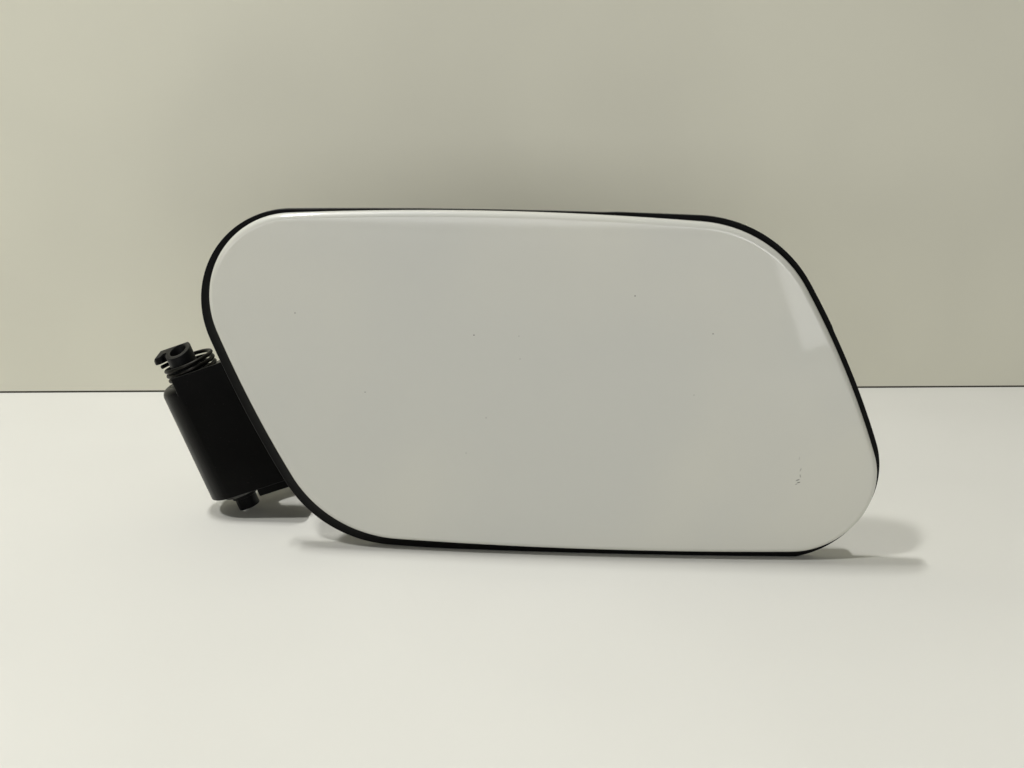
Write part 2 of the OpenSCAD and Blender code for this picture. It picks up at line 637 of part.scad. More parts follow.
function wire_ring(p, t) =
    let (side = unit(cross(t, [0, 0, 1])), up = cross(side, t))
    [for (k = [0:WIRE_SIDES - 1])
       p + wire_d / 2 * (side * cos(k * 360 / WIRE_SIDES) + up * sin(k * 360 / WIRE_SIDES))];
module wire(path) {
    n = len(path);
    rings = [for (i = [0:n - 1]) wire_ring(path[i], unit(path[min(i + 1, n - 1)] - path[max(i - 1, 0)]))];
    sides = [for (i = [0:n - 2]) for (k = [0:WIRE_SIDES - 1])
       let (m = (k + 1) % WIRE_SIDES, a = i * WIRE_SIDES, b = a + WIRE_SIDES)
        for (f = [[a + k, a + m, b + m], [a + k, b + m, b + k]]) f];
    caps = [[for (k = [WIRE_SIDES - 1:-1:0]) k], [for (k = [0:WIRE_SIDES - 1]) (n - 1) * WIRE_SIDES + k]];
    polyhedron([for (r = rings) for (p = r) p], concat(sides, caps), convexity = 8);
}
module torsion_spring() { color(steel) on_hinge() wire(spring_path); }

// Pan-head screw pointing to the skin, its head's seat at depth back
module screw(p, back) {
    color(steel) in_frame() difference() {
        union() {
            rod_y(p, screw_r, back - screw_len, back + 0.5);
            translate([p.x, back + seat_gap, p.y]) rotate([-90, 0, 0])
                cylinder(r1 = screw_head_r, r2 = screw_head_r * 0.8, h = screw_head_h);
        }
        translate([p.x, back + screw_head_h * 0.4, p.y]) rotate([-90, 0, 0])
            cylinder(r = screw_head_r * 0.45, h = screw_head_h, $fn = 6);
    }
}
module arm_screw_1() { screw(arm_screw_at[0], foot_back); }
module arm_screw_2() { screw(arm_screw_at[1], foot_back); }
module arm_screw_3() { screw(arm_screw_at[2], foot_back); }
module arm_screw_4() { screw(arm_screw_at[3], foot_back); }

EYE_WALL = 3.5;
GUSSET_T = 1.8;
// Base and tongue with an eye for the locking pin
module latch_striker() {
    y0 = seat_back + seat_gap;
    eye_y = y0 + striker_reach - eye_r - EYE_WALL;
    color(plastic) in_frame() difference() {
        union() {
            panel_slab(y0, base_back) {
                translate(striker_at) square([striker_w, striker_pitch], center = true);
                for (p = striker_screw_at) translate(p) circle(striker_w / 2);
            }
            // tongue with a round end
            translate([striker_at.x - striker_t / 2, y0, striker_at.y]) rotate([90, 0, 90])
               linear_extrude(striker_t) {
                translate([0, -striker_w / 2]) square([striker_reach - striker_w / 2, striker_w]);
                translate([striker_reach - striker_w / 2, 0]) circle(striker_w / 2);
            }
            // gussets at the tongue's root
            for (k = [-1, 1])
               translate([striker_at.x, base_back - 0.5, striker_at.y + k * striker_w * 0.32 - GUSSET_T / 2])
                linear_extrude(GUSSET_T)
               polygon([[-striker_w / 2 + 1, 0], [striker_w / 2 - 1, 0], [0, striker_w * 0.7]]);
        }
        translate([striker_at.x - striker_w, eye_y, striker_at.y]) rotate([0, 90, 0])
           cylinder(r = eye_r, h = 2 * striker_w);
        for (p = striker_screw_at) rod_y(p, screw_r + 0.2, y0 - 1, base_back + 1);
    }
}
module striker_screw_1() { screw(striker_screw_at[0], base_back); }
module striker_screw_2() { screw(striker_screw_at[1], base_back); }

BUFFER_BEVEL = 1.5;
// Rubber buffer pushed into its boss by a stem
module buffer(p) {
    color(rubber) in_frame() {
        rod_y(p, stem_r, seat_back - stem_len, seat_back + 1);
        rod_y(p, buffer_r, seat_back + seat_gap, seat_back + buffer_h - BUFFER_BEVEL);
        translate([p.x, seat_back + buffer_h - BUFFER_BEVEL, p.y]) rotate([-90, 0, 0])
            cylinder(r1 = buffer_r, r2 = buffer_r - BUFFER_BEVEL, h = BUFFER_BEVEL);
    }
}
module buffer_1() { buffer(buffer_at[0]); }
module buffer_2() { buffer(buffer_at[1]); }
module buffer_3() { buffer(buffer_at[2]); }
module buffer_4() { buffer(buffer_at[3]); }

BEAD_R = 1.4;
// Two sprung prongs that hold the filler cap while the tank is filled
module cap_holder() {
    y0 = seat_back + seat_gap;
    half = holder_gap / 2;
    color(plastic) in_frame() translate([0, 0, holder_at.y - holder_len / 2]) difference() {
        linear_extrude(holder_len) translate([holder_at.x, 0]) {
            translate([-half - prong_t, y0]) square([holder_gap + 2 * prong_t, base_t]);
            for (k = [-1, 1]) scale([k, 1]) {
                translate([half, y0]) square([prong_t, prong_h]);
                // inward bead at the tip
                translate([half + 0.3, y0 + prong_h - BEAD_R]) circle(BEAD_R);
            }
        }
        translate([0, 0, -holder_at.y + holder_len / 2]) rod_y(holder_at, screw_r + 0.2, y0 - 1, base_back + 1);
    }
}
module holder_screw() { screw(holder_at, base_back); }

outer_skin();
inner_carrier();
hinge_arm();
bush_upper();
bush_lower();
hinge_spindle();
thrust_washer();
retaining_ring();
torsion_spring();
arm_screw_1();
arm_screw_2();
arm_screw_3();
arm_screw_4();
latch_striker();
striker_screw_1();
striker_screw_2();
buffer_1();
buffer_2();
buffer_3();
buffer_4();
cap_holder();
holder_screw();
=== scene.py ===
"""Looks of a hinged fuel filler flap: painted skin, black carrier, gooseneck arm and sprung spindle.

Lengths in the classes are in millimetres, as a drawing gives them, and meshes are in metres.
X runs along the flap away from the hinge, Y into the car and Z up, with the flap on its lower edge.
"""
import logging
import math
from collections.abc import Iterable, Sequence
from dataclasses import dataclass, field
from enum import Enum

import bmesh
import bpy
import numpy as np
from mathutils import Matrix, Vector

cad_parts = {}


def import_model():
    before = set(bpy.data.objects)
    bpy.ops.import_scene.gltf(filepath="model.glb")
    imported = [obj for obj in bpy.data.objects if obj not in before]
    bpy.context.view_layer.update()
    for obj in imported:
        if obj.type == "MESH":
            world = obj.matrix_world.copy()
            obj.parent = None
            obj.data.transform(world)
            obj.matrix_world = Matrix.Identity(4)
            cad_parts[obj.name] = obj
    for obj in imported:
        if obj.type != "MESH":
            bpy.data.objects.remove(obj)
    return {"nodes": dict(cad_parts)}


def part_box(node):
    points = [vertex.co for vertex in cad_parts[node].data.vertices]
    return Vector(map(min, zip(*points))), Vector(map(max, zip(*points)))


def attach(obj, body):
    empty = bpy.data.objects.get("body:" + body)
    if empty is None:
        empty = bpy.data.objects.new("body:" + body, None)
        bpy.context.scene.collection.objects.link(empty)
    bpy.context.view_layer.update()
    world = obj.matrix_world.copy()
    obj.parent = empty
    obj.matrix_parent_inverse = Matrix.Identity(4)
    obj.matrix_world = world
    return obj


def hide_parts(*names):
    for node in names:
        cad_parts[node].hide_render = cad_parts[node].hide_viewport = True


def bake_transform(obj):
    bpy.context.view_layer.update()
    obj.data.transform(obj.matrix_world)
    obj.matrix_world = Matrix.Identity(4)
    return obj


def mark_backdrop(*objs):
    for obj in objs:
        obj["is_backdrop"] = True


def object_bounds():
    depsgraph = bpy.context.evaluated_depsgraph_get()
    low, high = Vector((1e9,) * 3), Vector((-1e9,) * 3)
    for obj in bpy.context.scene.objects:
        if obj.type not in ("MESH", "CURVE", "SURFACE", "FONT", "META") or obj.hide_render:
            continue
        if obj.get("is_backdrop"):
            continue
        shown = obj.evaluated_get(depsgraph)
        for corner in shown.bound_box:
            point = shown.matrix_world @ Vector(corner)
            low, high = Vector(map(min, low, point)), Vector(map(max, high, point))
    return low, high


LOG = logging.getLogger("filler_flap")
MM = 0.001

Array = np.ndarray
Material = bpy.types.Material
Object = bpy.types.Object
Socket = bpy.types.NodeSocket
Node = bpy.types.Node


class Body(Enum):
    """The two bodies that the hinge joins."""

    BASE = "hinge_base"
    FLAP = "flap"


def linear(hex_colour: str) -> tuple[float, float, float, float]:
    """Turns an sRGB hex colour such as "#C8C8C4" to linear red, green, blue and an alpha of 1."""
    parts = [int(hex_colour[i:i + 2], 16) / 255 for i in (1, 3, 5)]
    lit = [c / 12.92 if c <= 0.04045 else ((c + 0.055) / 1.055) ** 2.4 for c in parts]
    return (*lit, 1.0)


class Shading:
    """A new material with its Principled shader and Object coordinates."""

    def __init__(self, name: str) -> None:
        """Makes the empty material.

        Args:
            name: The material's name, after the real material.
        """
        self.material = bpy.data.materials.new(name)
        self.material.use_nodes = True
        self.tree = self.material.node_tree
        self.tree.nodes.clear()
        self.shader = self.add("BsdfPrincipled")
        self.output = self.add("OutputMaterial", Surface=self.shader)
        self.coords = self.add("TexCoord")
        self.at = self.coords.outputs["Object"]

    def add(self, kind: str, settings: dict | None = None, **inputs: object) -> Node:
        """Adds a node with its settings, values and links.

        Args:
            kind: The node's type name, without its ShaderNode prefix.
            settings: Attributes of the node, such as its operation.
            inputs: Values, sockets or nodes for its inputs. A node stands for its first output, an
                underscore for a space, and in_0, in_1 and so on name an input by its place.

        Returns:
            The new node.
        """
        node = self.tree.nodes.new("ShaderNode" + kind)
        for name, value in (settings or {}).items():
            setattr(node, name, value)
        for name, value in inputs.items():
            self.put(node.inputs[int(name[3:]) if name.startswith("in_") else name.replace("_", " ")], value)
        return node

    def put(self, socket: Socket, value: object) -> None:
        """Sets a socket's own value, or links a node or socket to it."""
        value = value.outputs[0] if isinstance(value, bpy.types.Node) else value
        if isinstance(value, bpy.types.NodeSocket):
            self.tree.links.new(value, socket)
        else:
            socket.default_value = value

    def surface(self, **inputs: object) -> None:
        """Sets the Principled shader's inputs, an underscore standing for a space."""
        for name, value in inputs.items():
            self.put(self.shader.inputs[name.replace("_", " ")], value)


@dataclass(frozen=True)
class Cloud:
    """Soft blobs of a real size: a noise that is ramped smoothly from least to most between two of its levels."""

    size_mm: float
    low: float = 0.35
    high: float = 0.65
    least: float = 0.0
    most: float = 1.0
    detail: float = 2.0

    def over(self, shading: Shading) -> Node:
        """Adds the pattern to a material and returns the node that gives its value."""
        blobs = shading.add("TexNoise", Vector=shading.at, Scale=1 / (self.size_mm * MM), Detail=self.detail)
        return shading.add("MapRange", {"interpolation_type": "SMOOTHSTEP"}, in_0=blobs, in_1=self.low,
                           in_2=self.high, in_3=self.least, in_4=self.most)


@dataclass(frozen=True)
class Mark:
    """A chip or scratch in the paint: its middle, half width and half length in mm, its lean and how dark it is."""

    x: float
    z: float
    half_width: float
    half_len: float
    lean_deg: float = 0.0
    depth: float = 0.8

    def over(self, shading: Shading) -> Node:
        """The mark's share of its colour: depth inside its ellipse in X and Z, fading to 0 past its rim."""
        placed = shading.add("Mapping", {"vector_type": "TEXTURE"}, Vector=shading.at,
                             Location=(self.x * MM, 0.0, self.z * MM), Rotation=(0.0, math.radians(self.lean_deg), 0.0),
                             Scale=(self.half_width * MM, 1.0, self.half_len * MM))
        flat = shading.add("VectorMath", {"operation": "MULTIPLY"}, in_0=placed, in_1=(1.0, 0.0, 1.0))
        far = shading.add("VectorMath", {"operation": "LENGTH"}, in_0=flat)
        return shading.add("MapRange", {"interpolation_type": "SMOOTHSTEP"}, in_0=far.outputs["Value"], in_1=0.5,
                           in_2=1.2, in_3=self.depth, in_4=0.0)


@dataclass(frozen=True)
class BodyPaint:
    """Sprayed acrylic car paint under a clear coat.

    The eye sees an even, pale warm grey with a sharp gloss on top, a very faint orange peel in the gloss,
    a few stone chips and, as the last six marks, one small scuff near the free end. The orange peel is waves of
    about 4 mm that the spray leaves, too low to feel.
    """

    colour: str = "#C3C2B7"
    shade: str = "#BDBDB5"
    chip: str = "#5A5952"
    rough: float = 0.45
    coat_rough: float = 0.06
    index: float = 1.5
    shade_cloud: Cloud = Cloud(90.0)
    peel: Cloud = Cloud(4.0, 0.2, 0.8, detail=1.0)
    peel_depth_mm: float = 0.0012
    marks: tuple[Mark, ...] = (
        Mark(38.7, 51.1, 0.22, 0.28), Mark(60.4, 25.9, 0.25, 0.2), Mark(95.3, 45.9, 0.3, 0.26),
        Mark(144.9, 59.6, 0.26, 0.3), Mark(169.8, 48.1, 0.3, 0.22), Mark(109.4, 46.0, 0.2, 0.2, 0.0, 0.5),
        Mark(109.9, 38.6, 0.2, 0.24, 0.0, 0.5), Mark(165.3, 28.0, 0.24, 0.2, 0.0, 0.5),
        Mark(99.4, 18.6, 0.22, 0.22, 0.0, 0.6), Mark(93.0, 6.2, 0.2, 0.24, 0.0, 0.5),
        Mark(201.1, 6.9, 0.16, 0.7, 4.0, 0.3), Mark(201.95, 2.9, 0.25, 0.7, 15.0, 0.45),
        Mark(202.1, 0.7, 0.25, 0.7, -15.0, 0.5), Mark(201.4, -0.75, 0.75, 0.25, -22.0, 0.8),
        Mark(201.8, -1.6, 0.6, 0.22, -12.0, 1.0), Mark(201.1, -2.2, 0.5, 0.2, -30.0, 0.6),
    )

    def material(self) -> Material:
        """Builds the paint, its coat and its marks."""
        shading = Shading("clear_coated_body_paint")
        colour = shading.add("Mix", {"data_type": "RGBA"}, in_0=self.shade_cloud.over(shading),
                             in_6=linear(self.colour), in_7=linear(self.shade))
        shown = self.marks[0].over(shading)
        for mark in self.marks[1:]:
            shown = shading.add("Math", {"operation": "MAXIMUM"}, in_0=shown, in_1=mark.over(shading))
        colour = shading.add("Mix", {"data_type": "RGBA"}, in_0=shown, in_6=colour.outputs[2],
                             in_7=linear(self.chip))
        peel = shading.add("Bump", Height=self.peel.over(shading), Distance=self.peel_depth_mm * MM)
        shading.surface(Base_Color=colour.outputs[2], Roughness=self.rough, IOR=self.index, Coat_Weight=1.0,
                        Coat_Roughness=self.coat_rough, Coat_IOR=self.index, Coat_Normal=peel)
        return shading.material


@dataclass(frozen=True)
class MouldedPlastic:
    """Injection-moulded black plastic.

    The eye sees a satin black that stays black in a bright room, with a spark-eroded grain from its tool and
    settled dust. A tool's grain of about 0.1 mm is too fine to show and is drawn as coarse as it needs to be.
    """

    name: str
    colour: str = "#0A0A0A"
    dusty: str = "#2E2D29"
    rough: float = 0.4
    gloss_tint: float = 0.1
    grain_mm: float = 0.45
    grain_depth_mm: float = 0.008
    dust: float = 0.35
    index: float = 1.5
    drift: Cloud = Cloud(7.0, least=0.3, detail=4.0)
    speck: Cloud = Cloud(0.8, 0.7, 0.76, most=0.25, detail=1.0)
    sheen_mm: float = 12.0

    def material(self) -> Material:
        """Builds the plastic: dust lies on faces that look up, and stray specks of it everywhere."""
        shading = Shading(self.name)
        normal = shading.add("SeparateXYZ", in_0=shading.coords.outputs["Normal"])
        upward = shading.add("MapRange", in_0=normal.outputs["Z"], in_1=0.25, in_2=1.0, in_3=0.0, in_4=self.dust)
        settled = shading.add("Math", {"operation": "MULTIPLY"}, in_0=upward, in_1=self.drift.over(shading))
        share = shading.add("Math", {"operation": "MAXIMUM"}, in_0=settled, in_1=self.speck.over(shading))
        colour = shading.add("Mix", {"data_type": "RGBA"}, in_0=share, in_6=linear(self.colour),
                             in_7=linear(self.dusty))
        rough = Cloud(self.sheen_mm, 0.3, 0.7, self.rough - 0.05, self.rough + 0.07, 3.0).over(shading)
        grain = shading.add("Bump", Height=Cloud(self.grain_mm, 0.1, 0.9).over(shading),
                            Distance=self.grain_depth_mm * MM)
        shading.surface(Base_Color=colour.outputs[2], Roughness=rough, IOR=self.index,
                        Specular_Tint=(self.gloss_tint, self.gloss_tint, self.gloss_tint, 1.0), Normal=grain)
        return shading.material


@dataclass(frozen=True)
class MetalFinish:
    """A treated steel surface.

    The eye sees its reflected colour and a cloudy change of sheen from the bath. The crystals of such a layer
    are finer than 0.1 mm and are drawn as coarse as they need to be to show.
    """

    name: str
    colour: str
    cloudy: str
    rough: float
    cloud_mm: float = 3.0
    grain_mm: float = 0.25
    grain_depth_mm: float = 0.002

    def material(self) -> Material:
        """Builds the metal."""
        shading = Shading(self.name)
        colour = shading.add("Mix", {"data_type": "RGBA"}, in_0=Cloud(self.cloud_mm, detail=3.0).over(shading),
                             in_6=linear(self.colour), in_7=linear(self.cloudy))
        rough = Cloud(self.cloud_mm, 0.3, 0.7, self.rough - 0.06, self.rough + 0.08).over(shading)
        grain = shading.add("Bump", Height=Cloud(self.grain_mm, 0.1, 0.9).over(shading),
                            Distance=self.grain_depth_mm * MM)
        shading.surface(Base_Color=colour.outputs[2], Metallic=1.0, Roughness=rough, Normal=grain)
        return shading.material


@dataclass(frozen=True)
class BoardPaint:
    """Matt painted board under and behind the object.

    The eye sees a nearly even, pale colour with hardly any gloss.
    """

    name: str
    colour: str
    second: str
    one_sided: bool = False
    cloud_mm: float = 160.0
    rough: float = 0.8
    gloss: float = 0.2

    def material(self) -> Material:
        """Builds the board, clear from behind where it is one-sided so that it never hides the object."""
        shading = Shading(self.name)
        colour = shading.add("Mix", {"data_type": "RGBA"}, in_0=Cloud(self.cloud_mm).over(shading),
                             in_6=linear(self.colour), in_7=linear(self.second))
        shading.surface(Base_Color=colour.outputs[2], Roughness=self.rough, Specular_IOR_Level=self.gloss)
        if self.one_sided:
            side = shading.add("NewGeometry")
            seen = shading.add("MixShader", in_0=side.outputs["Backfacing"], in_1=shading.shader,
                               in_2=shading.add("BsdfTransparent"))
            shading.put(shading.output.inputs["Surface"], seen)
        return shading.material


# Polypropylene, injection-moulded: the plain satin black of the rim and the ribs.
CARRIER_PLASTIC = MouldedPlastic("moulded_polypropylene")
# Nylon with glass fibre, injection-moulded: a deeper black, and coarser where fibres lie at the surface.
ARM_NYLON = MouldedPlastic("glass_filled_nylon", "#050505", "#2C2B27", rough=0.36, gloss_tint=0.05, grain_mm=0.7,
                           grain_depth_mm=0.012)
# Unfilled nylon, injection-moulded: black, with paler dust than the arm's.
SPINDLE_NYLON = MouldedPlastic("moulded_nylon_spindle", "#0C0C0C", "#34332F")
# Acetal, injection-moulded: a dark grey that is smoother and shinier than the nylon round it.
BUSH_ACETAL = MouldedPlastic("moulded_acetal", "#2B2A27", "#44423C", 0.32)
# Rubber, compression-moulded: matt black that holds dust.
BUFFER_RUBBER = MouldedPlastic("moulded_rubber", "#0C0C0C", "#34332F", rough=0.7, gloss_tint=0.25, grain_mm=0.35,
                               grain_depth_mm=0.012, dust=0.45)
# Spring steel wire, drawn and phosphated: nearly black with a dull, broad shine along each turn.
SPRING_WIRE = MetalFinish("black_phosphated_spring_wire", "#2A2926", "#1E1D1B", 0.4)
# Steel, stamped and black zinc-plated: dark grey with a satin shine.
BLACK_STEEL = MetalFinish("black_zinc_plated_steel", "#4A4A48", "#3A3A39", 0.34)
# Screw steel, zinc-plated and bluish: the only bright spots on the rear side.
SCREW_STEEL = MetalFinish("zinc_plated_screw_steel", "#9A9B99", "#85878A", 0.34)
# Matt paint, rolled on: the pale table, and the warmer wall, which is clear from behind.
TABLE_PAINT = BoardPaint("matt_table_paint", "#D5D4CC", "#D1D0C8")
WALL_PAINT = BoardPaint("matt_wall_paint", "#DAD8C7", "#D3D1C1", True)
# A thin dark strip where the wall meets the table: painted shadow in the seam.
SEAM_SHADE = BoardPaint("board_edge_in_shadow", "#4C4A42", "#45433C")


def unit(vectors: Array) -> Array:
    """Each row scaled to a length of 1."""
    return vectors / np.linalg.norm(vectors, axis=-1, keepdims=True)


def left_of(vectors: Array) -> Array:
    """Each row of two numbers turned a quarter to the left."""
    return np.stack([-vectors[..., 1], vectors[..., 0]], axis=-1)


def outward(loop: Array) -> Array:
    """The outward normal of a clockwise loop at each point, from its two neighbours."""
    return left_of(unit(np.roll(loop, -1, axis=0) - np.roll(loop, 1, axis=0)))


def quarter(radius: float, steps: int = 5) -> Array:
    """Steps round a quarter circle, as rows of (inset, rise) that go from (0, 0) to (radius, radius)."""
    turn = np.linspace(0, math.pi / 2, steps)
    return radius * np.stack([1 - np.cos(turn), np.sin(turn)], axis=1)


class Shells:
    """Closed shells, each a stack of rings of points, that together make one smooth mesh."""

    def __init__(self) -> None:
        """Starts without a shell."""
        self.points: list[Array] = []
        self.corners: list[Array] = []
        self.sizes: list[Array] = []
        self.count = 0

    def add(self, rings: Array) -> None:
        """Adds a shell: faces between neighbouring rings, and a fan to the mean of its first and last ring.

        Args:
            rings: Points in metres, by ring, by place round the ring, and by axis.
        """
        rows, around = rings.shape[:2]
        row, column = np.meshgrid(np.arange(rows - 1) * around, np.arange(around), indexing="ij")
        after = (column + 1) % around
        sides = np.stack([row + column, row + after, row + around + after, row + around + column], axis=-1)
        step, hub = np.arange(around), rows * around
        turn, last = (step + 1) % around, (rows - 1) * around
        fans = np.concatenate([np.stack([np.full(around, hub), turn, step], axis=1),
                               np.stack([np.full(around, hub + 1), last + step, last + turn], axis=1)])
        self.points += [rings.reshape(-1, 3), rings[[0, -1]].mean(axis=1)]
        self.corners += [sides.ravel() + self.count, fans.ravel() + self.count]
        self.sizes += [np.full(sides.size // 4, 4), np.full(len(fans), 3)]
        self.count += rows * around + 2

    def build(self, name: str, material: Material) -> Object:
        """Makes the mesh, turns its faces outwards and links its object.

        Args:
            name: The piece's name.
            material: Its material.

        Returns:
            The new object.
        """
        mesh = bpy.data.meshes.new(name)
        points, corners = np.concatenate(self.points), np.concatenate(self.corners)
        sizes = np.concatenate(self.sizes)
        mesh.vertices.add(len(points))
        mesh.vertices.foreach_set("co", points.astype(np.float32).ravel())
        mesh.loops.add(len(corners))
        mesh.loops.foreach_set("vertex_index", corners.astype(np.int32))
        mesh.polygons.add(len(sizes))
        mesh.polygons.foreach_set("loop_start", np.concatenate([[0], np.cumsum(sizes)[:-1]]).astype(np.int32))
        mesh.polygons.foreach_set("use_smooth", np.ones(len(sizes), bool))
        mesh.update(calc_edges=True)
        work = bmesh.new()
        work.from_mesh(mesh)
        bmesh.ops.recalc_face_normals(work, faces=work.faces[:])
        work.to_mesh(mesh)
        work.free()
        mesh.materials.append(material)
        made = bpy.data.objects.new(name, mesh)
        bpy.context.scene.collection.objects.link(made)
        LOG.info("built %s with %d faces", name, len(mesh.polygons))
        return made


@dataclass
class Outline:
    """A closed outline of four bowed sides and four filleted corners, clockwise seen from outside.

    Corners, fillets and bows go from the upper left corner and from the top side, round to the left.
    """

    corners: Array
    radii: Array
    bows: Array
    corner_steps: int = 40
    side_steps: int = 60

    def loop(self) -> Array:
        """The outline's points, corner_steps on each fillet and side_steps on each side.

        A side is the arc through its two corners that stands out by its bow, and a fillet is the circle of
        the corner's radius that touches both arcs from inside.
        """
        start, end = self.corners, np.roll(self.corners, -1, axis=0)
        side_r = ((np.linalg.norm(end - start, axis=1) / 2) ** 2 + self.bows ** 2) / (2 * self.bows)
        side_c = (start + end) / 2 - left_of(unit(end - start)) * (side_r - self.bows)[:, None]
        before_c, before_r = np.roll(side_c, 1, axis=0), np.roll(side_r, 1)
        a, b = before_r - self.radii, side_r - self.radii
        apart = np.linalg.norm(side_c - before_c, axis=1)
        along = (side_c - before_c) / apart[:, None]
        x = (a * a - b * b + apart * apart) / (2 * apart)
        foot = before_c + along * x[:, None]
        off = left_of(along) * np.sqrt(np.maximum(a * a - x * x, 0))[:, None]
        near = np.linalg.norm(foot + off - start, axis=1) < np.linalg.norm(foot - off - start, axis=1)
        fillet_c = np.where(near[:, None], foot + off, foot - off)
        pieces = []
        for i in range(4):
            pieces += [self._arc(fillet_c[i], self.radii[i], fillet_c[i] - before_c[i], fillet_c[i] - side_c[i],
                                 self.corner_steps),
                       self._arc(side_c[i], side_r[i], fillet_c[i] - side_c[i],
                                 fillet_c[(i + 1) % 4] - side_c[i], self.side_steps)]
        return np.concatenate(pieces)

    def grown(self, margins: Array, radii: Array, bows: Array) -> "Outline":
        """The outline with its sides moved out by the margins, and with its own fillets and bows."""
        into = left_of(unit(self.corners - np.roll(self.corners, 1, axis=0)))
        off = left_of(unit(np.roll(self.corners, -1, axis=0) - self.corners))
        m1, m2 = np.roll(margins, 1), margins
        det = into[:, 0] * off[:, 1] - into[:, 1] * off[:, 0]
        move = np.stack([m1 * off[:, 1] - m2 * into[:, 1], m2 * into[:, 0] - m1 * off[:, 0]], axis=1)
        return Outline(self.corners + move / det[:, None], radii, bows, self.corner_steps, self.side_steps)

    @staticmethod
    def _arc(centre: Array, radius: float, start: Array, end: Array, steps: int) -> Array:
        """Points of a clockwise arc about centre from the direction start towards end, without its last point."""
        first, last = math.atan2(start[1], start[0]), math.atan2(end[1], end[0])
        last -= 2 * math.pi * math.ceil((last - first) / (2 * math.pi))
        turn = first + (last - first) * np.arange(steps) / steps
        return centre + radius * np.stack([np.cos(turn), np.sin(turn)], axis=1)


@dataclass
class HingeLine:
    """The hinge line: its foot beside the lower left corner, its depth behind the face, its lean and length."""

    out: float = 35.5
    depth: float = 32.0
    lean_deg: float = 20.5
    length: float = 62.5
    foot_r: float = 3.9
    along: Array = field(init=False)
    across: Array = field(init=False)
    origin: Array = field(init=False)

    def __post_init__(self) -> None:
        """Works out the directions up the line and towards the flap, and the middle of the spindle."""
        lean = math.radians(self.lean_deg)
        self.along = np.array([-math.sin(lean), 0.0, math.cos(lean)])
        self.across = np.array([math.cos(lean), 0.0, math.sin(lean)])
        self.origin = np.array([-self.out, self.depth, self.foot_r * math.sin(lean)]) + self.along * self.length / 2

    def place(self, local: Array) -> Array:
        """Rows of (towards the flap, into the car, up from the spindle's foot) in mm, as points in metres."""
        basis = np.stack([self.across, [0.0, 1.0, 0.0], self.along])
        return (np.asarray(local, float) @ basis - self.along * self.length / 2) * MM

    def flap_point(self, towards: float, up: float) -> Array:
        """A point in hinge line coordinates as the flap's X and Z."""
        point = self.origin - self.along * self.length / 2 + self.across * towards + self.along * up
        return point[[0, 2]]


@dataclass
class FlapForm:
    """The flap's outline and crown, drawn from the lower left corner on the floor."""

    hinge: HingeLine
    height: float = 105.0
    top: float = 184.5
    top_rise: float = 2.0
    bottom: float = 191.5
    bottom_fall: float = 1.1
    lean: float = 45.5
    radii: tuple[float, ...] = (28.5, 43.0, 26.0, 41.0)
    bows: tuple[float, ...] = (4.3, 5.5, 1.6, 4.0)
    foot: float = 2.4
    crown_along: float = 1600.0
    crown_up: float = 1300.0
    outline: Outline = field(init=False)
    edge: Array = field(init=False)
    middle: Array = field(init=False)

    def __post_init__(self) -> None:
        """Lays the outline out and lifts it so that its lowest point stands foot above the floor."""
        corners = np.array([[-self.lean, self.height], [self.top - self.lean, self.height + self.top_rise],
                            [self.bottom, -self.bottom_fall], [0.0, 0.0]])
        flat = Outline(corners, np.array(self.radii), np.array(self.bows))
        lift = self.foot - flat.loop()[:, 1].min()
        self.outline = Outline(corners + [0.0, lift], flat.radii, flat.bows)
        self.edge = self.outline.loop()
        self.middle = self.outline.corners.mean(axis=0)

    def crown(self, points: Array) -> Array:
        """Depth behind the highest point: a parabola along the flap plus one up the flap."""
        away = points - self.middle
        return away[..., 0] ** 2 / (2 * self.crown_along) + away[..., 1] ** 2 / (2 * self.crown_up)

    def curved(self, loop: Array, behind: float) -> Array:
        """A loop laid at a depth behind the crowned face, as points in metres."""
        return self.at(loop, self.crown(loop) + behind)

    def at(self, points: Array, depth: Array | float) -> Array:
        """Points of the flap's X and Z at a depth, as points in metres."""
        depth = np.broadcast_to(depth, points.shape[:-1])
        return (np.stack([points[..., 0], depth, points[..., 1]], axis=-1) - self.hinge.origin) * MM

    def from_frame(self, low: Sequence[float], high: Sequence[float]) -> Array:
        """The middle of a box in metres as the flap's X and Z."""
        middle = (np.array(low) + np.array(high)) / 2 / MM + self.hinge.origin
        return middle[[0, 2]]


